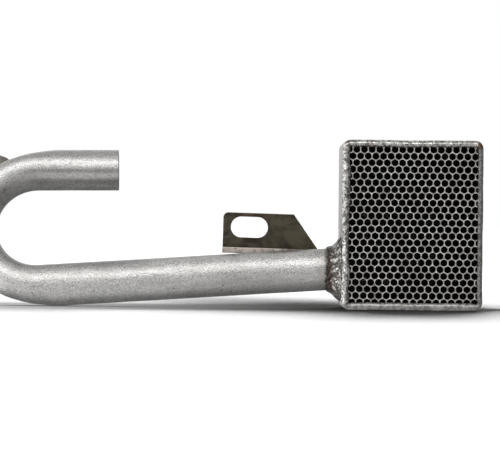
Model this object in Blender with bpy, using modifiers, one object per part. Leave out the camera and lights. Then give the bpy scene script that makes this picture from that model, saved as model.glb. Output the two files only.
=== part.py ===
"""Gas burner assembly: a bent mixing tube that feeds a welded sheet steel box with a honeycomb front.

The box is square to the axes and its honeycomb faces -Y. The tube leaves the box's left wall, runs to -X with
a slight fall, and turns back over itself in a bend that leans to the rear. The box's bottom weld and the bend
stand on Z = 0, and the origin is under the middle of the whole part.
"""

import math

import bmesh
import bpy
from mathutils import Vector

MM = 0.001
FIT_GAP = 0.3 * MM

# Box, measured over its front weld bead. Y = 0 is the middle of that bead while the pieces are being made.
BOX_WIDTH = 88.0 * MM
BOX_HEIGHT = 106.0 * MM
SHEET = 1.5 * MM
SHEET_CORNER = 4.0 * MM
SHELL_FRONT = 1.4 * MM
SHELL_REAR = 38.6 * MM
BACK_THICKNESS = 1.5 * MM
CORNER_STEPS = 4

# Weld beads of the box.
RIM_HALF_WIDTH = 2.1 * MM
RIM_HALF_DEPTH = 1.1 * MM
RIM_POINTS_PER_SIDE = 22
SEAM_RADIUS = 0.8 * MM
SEAM_INSET = 2.2 * MM
SEAM_POINTS_PER_SIDE = 6

# Honeycomb: cells with two upright walls, in strips that zigzag upward between neighbouring columns of cells.
CELL_PITCH = 4.7625 * MM
CELL_ROWS = 24
STRIP_COUNT = 34
FOIL = 0.35 * MM
FOIL_GAP = 0.15 * MM
HONEYCOMB_FRONT = 1.7 * MM
HONEYCOMB_DEPTH = 9.0 * MM
HONEYCOMB_OFFSET = Vector((0.85 * MM, 0.0, -0.6 * MM))

# Perforated sheet behind the honeycomb.
PERFORATED_SHEET = 0.8 * MM
PERFORATED_MARGIN = 0.5 * MM
HOLE_RADIUS = 2.5 * MM
HOLE_COLUMNS = 5
HOLE_ROWS = 6
HOLE_SPACING = 14.0 * MM
HOLE_SIDES = 8

# Mixing tube: 3/4 inch pipe. The run leaves the box's left wall here and the stub comes back above it.
TUBE_RADIUS = 13.45 * MM
TUBE_WALL = 2.6 * MM
TUBE_SIDES = 24
INLET_Y = 22.0 * MM
INLET_Z = 25.1 * MM
RUN_LENGTH = 190.0 * MM
RUN_FALL = math.radians(3.8)
RUN_SWING = math.radians(1.5)
BEND_RADIUS = 40.1 * MM
BEND_LEAN = math.radians(19.5)
BEND_STEPS = 16
STUB_LENGTH = 52.0 * MM
STUB_RISE = math.radians(0.8)
STUB_SWING = math.radians(6.0)
BEND_FLATTENING = 0.25
FLATTENING_LEAD = 14.0 * MM

# Fillet weld between the tube and the box.
FILLET_REACH = 8.5 * MM
FILLET_RADIUS = 20.5 * MM
FILLET_CLEARANCE = 0.65 * MM
FILLET_ARC_POINTS = 4
FILLET_SIDES = 32

# Slotted bracket behind the run: an L section, its upright plate slotted and its right edge slanted.
BRACKET_CORNER = Vector((-118.5 * MM, 32.8 * MM, 34.3 * MM))
BRACKET_TILT = math.radians(1.4)
BRACKET_LENGTH = 62.0 * MM
BRACKET_TOP_LENGTH = 45.6 * MM
BRACKET_HEIGHT = 26.2 * MM
BRACKET_THICKNESS = 3.8 * MM
BRACKET_LEG = 9.5 * MM
BRACKET_CORNER_RADIUS = 3.2 * MM
SLOT_LENGTH = 24.1 * MM
SLOT_WIDTH = 13.5 * MM
SLOT_CENTRE_FROM_LEFT = 17.0 * MM
SLOT_CENTRE_HEIGHT = 17.0 * MM
BRACKET_WELD_RADIUS = 1.8 * MM
BRACKET_WELD_SPAN = (20.0 * MM, 56.0 * MM)
BRACKET_WELD_POINTS = 10

# Flat tab behind the bend.
TAB_WIDTH = 18.0 * MM
TAB_HEIGHT = 22.0 * MM
TAB_THICKNESS = 3.8 * MM
TAB_CORNER_RADIUS = 4.0 * MM
TAB_TILT = math.radians(20.0)
TAB_CENTRE_X = -271.7 * MM
TAB_CENTRE_Z = 87.0 * MM
TAB_WELD_RADIUS = 2.2 * MM
TAB_WELD_TURN = (math.radians(122.0), math.radians(140.0))
TAB_WELD_LEAN = math.radians(15.0)
TAB_WELD_POINTS = 7

FULL_TURN = 2.0 * math.pi

PART_COLLECTION = "burner_assembly"
CUTTER_COLLECTION = "cutters"


# Scene, materials and objects

def clear_scene():
    for item in list(bpy.data.objects):
        bpy.data.objects.remove(item, do_unlink=True)


def make_collection(name):
    collection = bpy.data.collections.new(name)
    bpy.context.scene.collection.children.link(collection)
    return collection


def make_material(name, colour, roughness, metallic):
    material = bpy.data.materials.new(name)
    material.use_nodes = True
    shader = material.node_tree.nodes["Principled BSDF"]
    shader.inputs["Base Color"].default_value = (*colour, 1.0)
    shader.inputs["Roughness"].default_value = roughness
    shader.inputs["Metallic"].default_value = metallic
    return material


def add_object(name, data, material, collection):
    item = bpy.data.objects.new(name, data)
    if data.materials:
        data.materials[0] = material
    else:
        data.materials.append(material)
    collection.objects.link(item)
    return item


def mesh_from_bmesh(name, shape):
    mesh = bpy.data.meshes.new(name)
    bmesh.ops.recalc_face_normals(shape, faces=shape.faces)
    shape.to_mesh(mesh)
    shape.free()
    return mesh


def smooth_round_faces(mesh):
    mesh.shade_smooth()
    mesh.set_sharp_from_angle(angle=math.radians(35.0))


def curve_to_mesh_object(curve_object, collection):
    """Replaces a curve object by a welded mesh object of the same name, so that it can be cut."""
    bpy.context.view_layer.update()
    evaluated = curve_object.evaluated_get(bpy.context.evaluated_depsgraph_get())
    mesh = bpy.data.meshes.new_from_object(evaluated)
    shape = bmesh.new()
    shape.from_mesh(mesh)
    bmesh.ops.remove_doubles(shape, verts=shape.verts, dist=0.001 * MM)
    bmesh.ops.recalc_face_normals(shape, faces=shape.faces)
    shape.to_mesh(mesh)
    shape.free()
    name = curve_object.name
    placement = curve_object.matrix_world.copy()
    bpy.data.objects.remove(curve_object, do_unlink=True)
    item = bpy.data.objects.new(name, mesh)
    item.matrix_world = placement
    collection.objects.link(item)
    return item


def add_boolean(item, other, operation):
    modifier = item.modifiers.new(operation.lower(), "BOOLEAN")
    modifier.operation = operation
    modifier.solver = "EXACT"
    modifier.object = other
    return modifier


def hide_cutter(item):
    item.hide_render = True
    item.display_type = "WIRE"


# Flat outlines and wires

def add_spline(curve, points, cyclic, radii=None):
    spline = curve.splines.new("POLY")
    spline.points.add(len(points) - 1)
    for index, point in enumerate(points):
        position = tuple(point) if len(point) == 3 else (point[0], point[1], 0.0)
        spline.points[index].co = (*position, 1.0)
        if radii:
            spline.points[index].radius = radii[index]
    spline.use_cyclic_u = cyclic
    return spline


def flat_plate_curve(name, outlines, thickness):
    """A plate in the XY plane from closed outlines: the first is its edge, and the others are its holes."""
    curve = bpy.data.curves.new(name, "CURVE")
    curve.dimensions = "2D"
    curve.fill_mode = "BOTH"
    curve.extrude = thickness / 2
    curve.render_resolution_u = 0
    for outline in outlines:
        add_spline(curve, outline, True)
    return curve


def bead_curve(name, points, radius, cyclic, radii=None, resolution=1):
    curve = bpy.data.curves.new(name, "CURVE")
    curve.dimensions = "3D"
    curve.bevel_depth = radius
    curve.bevel_resolution = resolution
    curve.use_fill_caps = not cyclic
    curve.render_resolution_u = 0
    add_spline(curve, points, cyclic, radii)
    return curve


def corner_arc(centre, radius, start_angle, end_angle, steps):
    points = []
    for index in range(steps + 1):
        angle = start_angle + (end_angle - start_angle) * index / steps
        points.append((centre[0] + radius * math.cos(angle), centre[1] + radius * math.sin(angle)))
    return points


def rounded_rectangle(half_width, half_height, radius, corner_steps, side_points=0):
    """Counter-clockwise outline, with extra points spread evenly along each straight side."""
    outline = []
    corner_signs = ((1, 1), (-1, 1), (-1, -1), (1, -1))
    for quarter, (sign_x, sign_y) in enumerate(corner_signs):
        centre = (sign_x * (half_width - radius), sign_y * (half_height - radius))
        start_angle = quarter * math.pi / 2
        outline += corner_arc(centre, radius, start_angle, start_angle + math.pi / 2, corner_steps)
        next_x, next_y = corner_signs[(quarter + 1) % 4]
        next_start = start_angle + math.pi / 2
        side_end = Vector((
            next_x * (half_width - radius) + radius * math.cos(next_start),
            next_y * (half_height - radius) + radius * math.sin(next_start),
        ))
        side_start = Vector(outline[-1])
        for index in range(1, side_points + 1):
            outline.append(tuple(side_start.lerp(side_end, index / (side_points + 1))))
    return outline


def circle_outline(centre, radius, sides):
    return [
        (centre[0] + radius * math.cos(FULL_TURN * index / sides),
         centre[1] + radius * math.sin(FULL_TURN * index / sides))
        for index in range(sides)
    ]


def stand_upright(item, x, y, z, tilt=0.0):
    """Turns a plate from the XY plane to face -Y, and leans it by tilt, clockwise as seen from the front."""
    item.rotation_euler = (math.radians(90.0), tilt, 0.0)
    item.location = (x, y, z)


# The tube's centre line

def direction(toward_x, rise, swing):
    """A unit vector toward -X or +X that rises by one angle and swings to the rear by another."""
    return Vector((
        toward_x * math.cos(rise) * math.cos(swing),
        math.cos(rise) * math.sin(swing),
        math.sin(rise),
    )).normalized()


RUN_DIRECTION = direction(-1.0, -RUN_FALL, -RUN_SWING)
STUB_DIRECTION = direction(1.0, STUB_RISE, STUB_SWING)
TUBE_START = Vector((-BOX_WIDTH / 2 + RIM_HALF_WIDTH / 4 - FIT_GAP, INLET_Y, INLET_Z))
BEND_START = TUBE_START + RUN_DIRECTION * RUN_LENGTH


def lift_direction():
    lift = Vector((0.0, math.sin(BEND_LEAN), math.cos(BEND_LEAN)))
    return (lift - RUN_DIRECTION * lift.dot(RUN_DIRECTION)).normalized()


def bend_frame(turn):
    """Heading and outward direction after the bend has turned by this angle, from 0 to pi."""
    share = turn / math.pi
    heading = (RUN_DIRECTION * (1.0 - share) - STUB_DIRECTION * share).normalized()
    lift = lift_direction()
    tangent = (heading * math.cos(turn) + lift * math.sin(turn)).normalized()
    outward = heading * math.sin(turn) - lift * math.cos(turn)
    outward = (outward - tangent * outward.dot(tangent)).normalized()
    return tangent, outward


def bend_point(turn):
    """The centre line's point in the bend, summed along its arc in small steps."""
    small_steps = 64
    point = BEND_START.copy()
    for index in range(small_steps):
        tangent, _ = bend_frame(turn * (index + 0.5) / small_steps)
        point += tangent * BEND_RADIUS * turn / small_steps
    return point


def flattening(distance_into_bend, bend_length):
    """How far the tube's outer side is pressed in: none on the straights, all of it well inside the bend."""
    from_nearest_end = min(distance_into_bend, bend_length - distance_into_bend)
    share = (from_nearest_end + FLATTENING_LEAD) / (2 * FLATTENING_LEAD)
    share = min(max(share, 0.0), 1.0)
    return BEND_FLATTENING * share * share * (3.0 - 2.0 * share)


def tube_stations():
    """Centre, tangent, outward direction and flattening of each ring of the tube, from the box to the inlet."""
    bend_length = BEND_RADIUS * math.pi
    stations = [(TUBE_START, *straight_frame(RUN_DIRECTION, 0.0), 0.0)]
    lead = FLATTENING_LEAD
    for before in (lead, lead / 2):
        centre = BEND_START - RUN_DIRECTION * before
        stations.append((centre, *straight_frame(RUN_DIRECTION, 0.0), flattening(-before, bend_length)))
    for index in range(BEND_STEPS + 1):
        turn = math.pi * index / BEND_STEPS
        tangent, outward = bend_frame(turn)
        stations.append((bend_point(turn), tangent, outward, flattening(BEND_RADIUS * turn, bend_length)))
    bend_end = bend_point(math.pi)
    for after in (lead / 2, lead):
        centre = bend_end + STUB_DIRECTION * after
        frame = straight_frame(STUB_DIRECTION, math.pi)
        stations.append((centre, *frame, flattening(bend_length + after, bend_length)))
    stations.append((bend_end + STUB_DIRECTION * STUB_LENGTH, *straight_frame(STUB_DIRECTION, math.pi), 0.0))
    return stations


def straight_frame(tangent, turn):
    _, outward = bend_frame(turn)
    return tangent, (outward - tangent * outward.dot(tangent)).normalized()


def tube_ring(centre, tangent, outward, flattened, radius, wall_inset):
    """One ring of points. The outer half of its width shrinks where the bend is flattened."""
    across = tangent.cross(outward)
    points = []
    for index in range(TUBE_SIDES):
        angle = FULL_TURN * index / TUBE_SIDES
        outward_reach = radius * math.cos(angle)
        if outward_reach > 0.0:
            pressed = TUBE_RADIUS * (1.0 - flattened) - wall_inset
            outward_reach = pressed * math.cos(angle)
        points.append(centre + outward * outward_reach + across * radius * math.sin(angle))
    return points


def slide_to_wall(points, tangent):
    """Cuts the tube's first ring parallel to the box's wall."""
    return [point + tangent * ((TUBE_START.x - point.x) / tangent.x) for point in points]


# Pieces of the tube

def build_mixing_tube(material, collection):
    """A loft through the rings of the bore and of the outside, which no primitive or bevelled curve gives."""
    shape = bmesh.new()
    outer_rings = []
    inner_rings = []
    for number, (centre, tangent, outward, flattened) in enumerate(tube_stations()):
        outer = tube_ring(centre, tangent, outward, flattened, TUBE_RADIUS, 0.0)
        inner = tube_ring(centre, tangent, outward, flattened, TUBE_RADIUS - TUBE_WALL, TUBE_WALL)
        if number == 0:
            outer = slide_to_wall(outer, tangent)
            inner = slide_to_wall(inner, tangent)
        outer_rings.append([shape.verts.new(point) for point in outer])
        inner_rings.append([shape.verts.new(point) for point in inner])
    # The section's loop goes along the outside to the inlet and back along the bore.
    loops = outer_rings + inner_rings[::-1]
    for ring_index, ring in enumerate(loops):
        next_ring = loops[(ring_index + 1) % len(loops)]
        for index in range(TUBE_SIDES):
            following = (index + 1) % TUBE_SIDES
            shape.faces.new((ring[index], ring[following], next_ring[following], next_ring[index]))
    mesh = mesh_from_bmesh("mixing_tube", shape)
    smooth_round_faces(mesh)
    return add_object("mixing_tube", mesh, material, collection)


def build_tube_weld(material, collection):
    """A turned fillet ring round the tube, against the box's left wall."""
    bore = TUBE_RADIUS + FILLET_CLEARANCE
    curve = bpy.data.curves.new("tube_weld_profile", "CURVE")
    # The profile lies in XZ with the tube's axis along Z: down the outer arc, then in along the wall side.
    profile = [(bore, 0.0, FILLET_REACH)]
    for index in range(1, FILLET_ARC_POINTS):
        share = index / FILLET_ARC_POINTS
        bulge = 1.0 * MM * math.sin(math.pi * share)
        radius = bore + (FILLET_RADIUS - bore) * share + bulge
        profile.append((radius, 0.0, FILLET_REACH * (1.0 - share) + bulge))
    profile += [(FILLET_RADIUS, 0.0, 0.0), (bore, 0.0, 0.0)]
    add_spline(curve, profile, True)
    curve.dimensions = "3D"
    weld = add_object("tube_weld", curve, material, collection)
    screw = weld.modifiers.new("turn", "SCREW")
    screw.axis = "Z"
    screw.steps = FILLET_SIDES
    screw.render_steps = FILLET_SIDES
    screw.use_merge_vertices = True
    screw.merge_threshold = 0.01 * MM
    halfway = TUBE_START + RUN_DIRECTION * FILLET_REACH / 2
    weld.location = (TUBE_START.x, halfway.y, halfway.z)
    weld.rotation_euler = (0.0, math.radians(-90.0), 0.0)
    return weld


# Pieces of the box

def build_box_shell(material, collection, cutters):
    """Four walls of one folded sheet, with the gas hole in the left wall."""
    depth = SHELL_REAR - SHELL_FRONT
    inset = RIM_HALF_WIDTH / 4
    shape = bmesh.new()
    bmesh.ops.create_cube(shape, size=1.0)
    bmesh.ops.scale(shape, vec=(BOX_WIDTH - 2 * inset, depth, BOX_HEIGHT - 2 * inset), verts=shape.verts)
    open_ends = [face for face in shape.faces if abs(face.normal.y) > 0.5]
    bmesh.ops.delete(shape, geom=open_ends, context="FACES_ONLY")
    corners = [edge for edge in shape.edges if abs(edge.verts[0].co.y - edge.verts[1].co.y) > depth / 2]
    bmesh.ops.bevel(shape, geom=corners, offset=SHEET_CORNER, segments=CORNER_STEPS, profile=0.5, affect="EDGES")
    mesh = mesh_from_bmesh("box_shell", shape)
    shell = add_object("box_shell", mesh, material, collection)
    shell.location = (0.0, (SHELL_FRONT + SHELL_REAR) / 2, BOX_HEIGHT / 2)
    solidify = shell.modifiers.new("sheet", "SOLIDIFY")
    solidify.thickness = SHEET
    solidify.offset = -1.0
    solidify.use_even_offset = True

    bpy.ops.mesh.primitive_cylinder_add(vertices=TUBE_SIDES, radius=TUBE_RADIUS - TUBE_WALL, depth=10.0 * MM)
    cutter = bpy.context.active_object
    cutter.name = "gas_hole_cutter"
    for owner in list(cutter.users_collection):
        owner.objects.unlink(cutter)
    cutters.objects.link(cutter)
    cutter.location = TUBE_START
    cutter.rotation_euler = (0.0, math.radians(90.0), 0.0)
    hide_cutter(cutter)
    add_boolean(shell, cutter, "DIFFERENCE")
    return shell


def build_back_plate(material, collection):
    half_width = BOX_WIDTH / 2 - RIM_HALF_WIDTH / 4 - SEAM_INSET
    half_height = BOX_HEIGHT / 2 - RIM_HALF_WIDTH / 4 - SEAM_INSET
    outline = rounded_rectangle(half_width, half_height, SHEET_CORNER - SEAM_INSET / 2, CORNER_STEPS)
    curve = flat_plate_curve("box_back_plate", [outline], BACK_THICKNESS)
    plate = add_object("box_back_plate", curve, material, collection)
    stand_upright(plate, 0.0, SHELL_REAR + FIT_GAP + BACK_THICKNESS / 2, BOX_HEIGHT / 2)
    return plate


def build_rear_seam_weld(material, collection):
    """A bead in the corner between the back plate's edge and the sleeve's rear edge."""
    inset = RIM_HALF_WIDTH / 4 + SEAM_INSET - FIT_GAP - SEAM_RADIUS
    outline = rounded_rectangle(
        BOX_WIDTH / 2 - inset, BOX_HEIGHT / 2 - inset, SHEET_CORNER, CORNER_STEPS, SEAM_POINTS_PER_SIDE)
    curve = bead_curve("rear_seam_weld", outline, SEAM_RADIUS, True)
    weld = add_object("rear_seam_weld", curve, material, collection)
    stand_upright(weld, 0.0, SHELL_REAR + FIT_GAP + SEAM_RADIUS, BOX_HEIGHT / 2)
    return weld


def lump(turn):
    """Uneven width of a hand-laid bead, as a factor near 1 that repeats after one turn."""
    return 1.0 + 0.05 * math.sin(7 * turn + 0.6) + 0.04 * math.sin(17 * turn) - 0.09


def build_rim_weld(material, collection):
    """The uneven bead that joins the sleeve's front edge and the honeycomb's edge cells."""
    outline = rounded_rectangle(
        BOX_WIDTH / 2 - RIM_HALF_WIDTH, BOX_HEIGHT / 2 - RIM_HALF_WIDTH,
        SHEET_CORNER, CORNER_STEPS, RIM_POINTS_PER_SIDE)
    radii = [lump(FULL_TURN * index / len(outline)) for index in range(len(outline))]
    curve = bead_curve("rim_weld", outline, RIM_HALF_WIDTH, True, radii)
    weld = add_object("rim_weld", curve, material, collection)
    stand_upright(weld, 0.0, 0.0, BOX_HEIGHT / 2)
    weld.scale = (1.0, 1.0, RIM_HALF_DEPTH / RIM_HALF_WIDTH)
    return weld


def strip_path(first_side):
    """Centre line of one corrugated strip: an upright wall in each row, and slanting walls between rows."""
    wall_length = CELL_PITCH / math.sqrt(3.0)
    row_pitch = 1.5 * wall_length
    reach = CELL_PITCH / 4 - (FOIL + FOIL_GAP) / 2
    half_height = (CELL_ROWS - 1) * row_pitch / 2
    points = [(0.0, -half_height - 0.75 * wall_length)]
    for row in range(CELL_ROWS):
        side = first_side if row % 2 == 0 else -first_side
        middle = row * row_pitch - half_height
        points.append((side * reach, middle - wall_length / 2))
        points.append((side * reach, middle + wall_length / 2))
    points.append((0.0, half_height + 0.75 * wall_length))
    return points


def build_honeycomb(material, collection):
    """Strips stand side by side, and every second one is turned over, so that they enclose the cells."""
    sheets = []
    for first_side in (-1.0, 1.0):
        curve = bpy.data.curves.new("honeycomb_strip", "CURVE")
        curve.dimensions = "2D"
        curve.fill_mode = "NONE"
        curve.extrude = HONEYCOMB_DEPTH / 2
        curve.render_resolution_u = 0
        add_spline(curve, strip_path(first_side), False)
        sheets.append(curve)
    strip_pitch = CELL_PITCH / 2
    middle_y = HONEYCOMB_FRONT + HONEYCOMB_DEPTH / 2
    strips = []
    for number in range(STRIP_COUNT):
        strip = add_object(f"honeycomb_strip_{number + 1:02d}", sheets[number % 2], material, collection)
        x = (number - (STRIP_COUNT - 1) / 2) * strip_pitch + HONEYCOMB_OFFSET.x
        stand_upright(strip, x, middle_y, BOX_HEIGHT / 2 + HONEYCOMB_OFFSET.z)
        solidify = strip.modifiers.new("foil", "SOLIDIFY")
        solidify.thickness = FOIL
        solidify.offset = 0.0
        solidify.use_even_offset = True
        strips.append(strip)
    return strips


def build_distribution_plate(material, collection):
    """Perforated sheet that backs the honeycomb and spreads the gas behind it."""
    inner_inset = RIM_HALF_WIDTH / 4 + SHEET + PERFORATED_MARGIN
    edge = rounded_rectangle(
        BOX_WIDTH / 2 - inner_inset, BOX_HEIGHT / 2 - inner_inset, SHEET_CORNER - SHEET, CORNER_STEPS)
    outlines = [edge]
    for column in range(HOLE_COLUMNS):
        for row in range(HOLE_ROWS):
            centre = (
                (column - (HOLE_COLUMNS - 1) / 2) * HOLE_SPACING,
                (row - (HOLE_ROWS - 1) / 2) * HOLE_SPACING,
            )
            outlines.append(circle_outline(centre, HOLE_RADIUS, HOLE_SIDES))
    curve = flat_plate_curve("distribution_plate", outlines, PERFORATED_SHEET)
    plate = add_object("distribution_plate", curve, material, collection)
    front = HONEYCOMB_FRONT + HONEYCOMB_DEPTH + FIT_GAP
    stand_upright(plate, 0.0, front + PERFORATED_SHEET / 2, BOX_HEIGHT / 2)
    return plate


# Brackets

def slot_outline(centre, length, width, steps):
    half_straight = (length - width) / 2
    right = corner_arc((centre[0] + half_straight, centre[1]), width / 2, -math.pi / 2, math.pi / 2, steps)
    left = corner_arc((centre[0] - half_straight, centre[1]), width / 2, math.pi / 2, 1.5 * math.pi, steps)
    return right + left


def build_slotted_bracket(material, collection, cutters):
    """L section: the slotted plate stands at the rear of a leg that reaches forward to the tube."""
    radius = BRACKET_CORNER_RADIUS
    edge = [(0.0, 0.0), (BRACKET_LENGTH, 0.0), (BRACKET_LENGTH, BRACKET_THICKNESS)]
    edge.append((BRACKET_TOP_LENGTH, BRACKET_HEIGHT))
    edge += corner_arc((radius, BRACKET_HEIGHT - radius), radius, math.pi / 2, math.pi, CORNER_STEPS)
    slot = slot_outline((SLOT_CENTRE_FROM_LEFT, SLOT_CENTRE_HEIGHT), SLOT_LENGTH, SLOT_WIDTH, 2 * CORNER_STEPS)
    curve = flat_plate_curve("slotted_bracket", [edge, slot], BRACKET_THICKNESS)
    bracket = add_object("slotted_bracket", curve, material, collection)
    plate_y = BRACKET_CORNER.y + BRACKET_LEG - BRACKET_THICKNESS / 2
    stand_upright(bracket, BRACKET_CORNER.x, plate_y, BRACKET_CORNER.z, BRACKET_TILT)
    bracket = curve_to_mesh_object(bracket, collection)
    bracket.data.materials.clear()
    bracket.data.materials.append(material)

    # The leg overlaps the plate by half the plate's thickness, and the union makes them one body.
    leg_depth = BRACKET_LEG - BRACKET_THICKNESS / 2
    shape = bmesh.new()
    bmesh.ops.create_cube(shape, size=1.0)
    bmesh.ops.scale(shape, vec=(BRACKET_LENGTH, BRACKET_THICKNESS, leg_depth), verts=shape.verts)
    leg_shift = (BRACKET_LENGTH / 2, BRACKET_THICKNESS / 2, leg_depth / 2)
    bmesh.ops.translate(shape, vec=leg_shift, verts=shape.verts)
    leg = bpy.data.objects.new("bracket_leg", mesh_from_bmesh("bracket_leg", shape))
    cutters.objects.link(leg)
    leg.matrix_world = bracket.matrix_world.copy()
    hide_cutter(leg)
    add_boolean(bracket, leg, "UNION")
    return bracket


def build_bracket_weld(material, collection):
    """A bead along the rear of the tube, in the corner under the bracket's leg."""
    start, end = BRACKET_WELD_SPAN
    reach = TUBE_RADIUS + FIT_GAP + BRACKET_WELD_RADIUS
    points = []
    for index in range(BRACKET_WELD_POINTS):
        along = start + (end - start) * index / (BRACKET_WELD_POINTS - 1)
        x = BRACKET_CORNER.x + along * math.cos(BRACKET_TILT)
        leg_bottom = BRACKET_CORNER.z - along * math.sin(BRACKET_TILT)
        axis = TUBE_START + RUN_DIRECTION * ((x - TUBE_START.x) / RUN_DIRECTION.x)
        z = leg_bottom - FIT_GAP - BRACKET_WELD_RADIUS
        y = axis.y + math.sqrt(reach * reach - (z - axis.z) ** 2)
        points.append((x, y, z))
    curve = bead_curve("bracket_weld", points, BRACKET_WELD_RADIUS, False)
    return add_object("bracket_weld", curve, material, collection)


def tab_weld_points():
    start, end = TAB_WELD_TURN
    reach = TUBE_RADIUS + FIT_GAP + TAB_WELD_RADIUS
    points = []
    for index in range(TAB_WELD_POINTS):
        turn = start + (end - start) * index / (TAB_WELD_POINTS - 1)
        tangent, outward = bend_frame(turn)
        rearward = outward.cross(tangent)
        if rearward.y < 0.0:
            rearward.negate()
        lean = rearward * math.cos(TAB_WELD_LEAN) + outward * math.sin(TAB_WELD_LEAN)
        points.append(bend_point(turn) + lean * reach)
    return points


def build_rear_tab_weld(material, collection):
    curve = bead_curve("rear_tab_weld", tab_weld_points(), TAB_WELD_RADIUS, False)
    return add_object("rear_tab_weld", curve, material, collection)


def build_rear_tab(material, collection):
    outline = rounded_rectangle(TAB_WIDTH / 2, TAB_HEIGHT / 2, TAB_CORNER_RADIUS, CORNER_STEPS)
    curve = flat_plate_curve("rear_tab", [outline], TAB_THICKNESS)
    tab = add_object("rear_tab", curve, material, collection)
    front = max(point.y for point in tab_weld_points()) + TAB_WELD_RADIUS + FIT_GAP
    stand_upright(tab, TAB_CENTRE_X, front + TAB_THICKNESS / 2, TAB_CENTRE_Z, TAB_TILT)
    return tab


# Assembly

def world_corners(items):
    """Lowest and highest coordinates of the evaluated pieces."""
    bpy.context.view_layer.update()
    depsgraph = bpy.context.evaluated_depsgraph_get()
    low = Vector((math.inf,) * 3)
    high = Vector((-math.inf,) * 3)
    for item in items:
        evaluated = item.evaluated_get(depsgraph)
        mesh = evaluated.to_mesh()
        for vertex in mesh.vertices:
            point = evaluated.matrix_world @ vertex.co
            low = Vector(map(min, low, point))
            high = Vector(map(max, high, point))
        evaluated.to_mesh_clear()
    return low, high


def stand_on_origin(items, collection):
    """Hangs every piece on an empty that puts the bottom centre of the whole part at the origin."""
    low, high = world_corners(items)
    anchor = bpy.data.objects.new("burner_anchor", None)
    collection.objects.link(anchor)
    for item in items:
        item.parent = anchor
    anchor.location = (-(low.x + high.x) / 2, -(low.y + high.y) / 2, -low.z)


def main():
    clear_scene()
    parts = make_collection(PART_COLLECTION)
    cutters = make_collection(CUTTER_COLLECTION)

    tube_steel = make_material("tube_steel", (0.42, 0.42, 0.41), 0.38, 1.0)
    box_steel = make_material("box_steel", (0.50, 0.50, 0.49), 0.35, 1.0)
    foil_steel = make_material("foil_steel", (0.46, 0.45, 0.44), 0.40, 1.0)
    weld_metal = make_material("weld_metal", (0.48, 0.46, 0.44), 0.32, 1.0)
    bracket_steel = make_material("bracket_steel", (0.10, 0.09, 0.07), 0.55, 1.0)

    build_mixing_tube(tube_steel, parts)
    build_tube_weld(weld_metal.copy(), parts)
    build_box_shell(box_steel, parts, cutters)
    build_back_plate(box_steel.copy(), parts)
    build_rear_seam_weld(weld_metal.copy(), parts)
    build_rim_weld(weld_metal, parts)
    build_honeycomb(foil_steel, parts)
    build_distribution_plate(foil_steel.copy(), parts)
    build_slotted_bracket(bracket_steel, parts, cutters)
    build_bracket_weld(weld_metal.copy(), parts)
    build_rear_tab(bracket_steel.copy(), parts)
    build_rear_tab_weld(weld_metal.copy(), parts)

    pieces = [item for item in parts.objects if item.type in {"MESH", "CURVE"}]
    stand_on_origin(pieces + list(cutters.objects), parts)


main()
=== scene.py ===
"""Looks of the burner assembly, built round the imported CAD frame.

Nearly every visible piece is made finer here than in the CAD: the mixing tube as one smooth loft, the weld
beads as lumpy sweeps, the honeycomb as 34 separate foil strips, and the plates with rounded edges. Only the
sheet behind the honeycomb is the CAD's own. All sizes are in metres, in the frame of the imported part.
"""

import math

import bmesh
import bpy
from mathutils import Matrix, Vector, noise


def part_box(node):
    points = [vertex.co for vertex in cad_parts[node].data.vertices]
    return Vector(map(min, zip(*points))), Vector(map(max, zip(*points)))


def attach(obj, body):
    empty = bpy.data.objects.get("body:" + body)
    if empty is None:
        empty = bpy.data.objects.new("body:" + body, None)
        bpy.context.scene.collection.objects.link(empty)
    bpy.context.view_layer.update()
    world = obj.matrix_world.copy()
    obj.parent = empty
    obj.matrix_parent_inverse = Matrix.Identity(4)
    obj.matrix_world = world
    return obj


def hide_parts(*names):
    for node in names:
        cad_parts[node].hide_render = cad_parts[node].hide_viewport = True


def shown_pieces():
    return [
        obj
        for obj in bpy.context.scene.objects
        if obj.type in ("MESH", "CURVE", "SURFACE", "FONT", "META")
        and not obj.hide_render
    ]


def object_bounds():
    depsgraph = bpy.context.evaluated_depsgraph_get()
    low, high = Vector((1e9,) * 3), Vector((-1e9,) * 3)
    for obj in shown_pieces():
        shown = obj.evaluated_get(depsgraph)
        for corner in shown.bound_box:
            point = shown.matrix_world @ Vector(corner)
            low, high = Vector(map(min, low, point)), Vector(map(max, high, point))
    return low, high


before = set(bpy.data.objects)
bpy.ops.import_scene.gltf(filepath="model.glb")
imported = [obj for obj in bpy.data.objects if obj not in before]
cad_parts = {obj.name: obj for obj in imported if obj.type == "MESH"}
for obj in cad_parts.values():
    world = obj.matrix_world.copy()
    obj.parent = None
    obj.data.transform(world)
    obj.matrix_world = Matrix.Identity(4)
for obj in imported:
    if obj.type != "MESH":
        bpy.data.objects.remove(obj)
CAD_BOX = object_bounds()

MM = 0.001
FULL_TURN = 2.0 * math.pi
BODY = "root"
TUBE_PLACE = "tube_place"

# Sizes of the CAD that the finer pieces repeat. The tube's radius is 0.12 mm less, because its smooth bend
# would otherwise stand a little outside the CAD's faceted one.
BOX_HEIGHT = 106.0 * MM
SHEET = 1.5 * MM
SHEET_CORNER = 4.0 * MM
CELL_PITCH = 4.7625 * MM
CELL_ROWS = 24
STRIP_COUNT = 34
HONEYCOMB_OFFSET_X = 0.85 * MM
HONEYCOMB_OFFSET_Z = -0.6 * MM
TUBE_RADIUS = 13.33 * MM
TUBE_WALL = 2.6 * MM
RUN_LENGTH = 190.0 * MM
RUN_FALL = math.radians(3.8)
RUN_SWING = math.radians(1.5)
BEND_RADIUS = 40.1 * MM
BEND_LEAN = math.radians(19.5)
STUB_LENGTH = 52.0 * MM
STUB_RISE = math.radians(0.8)
STUB_SWING = math.radians(6.0)
BEND_FLATTENING = 0.25
FLATTENING_LEAD = 14.0 * MM
INLET_Y = 22.0 * MM
INLET_Z = 25.1 * MM
BRACKET_TILT = math.radians(1.4)
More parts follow.
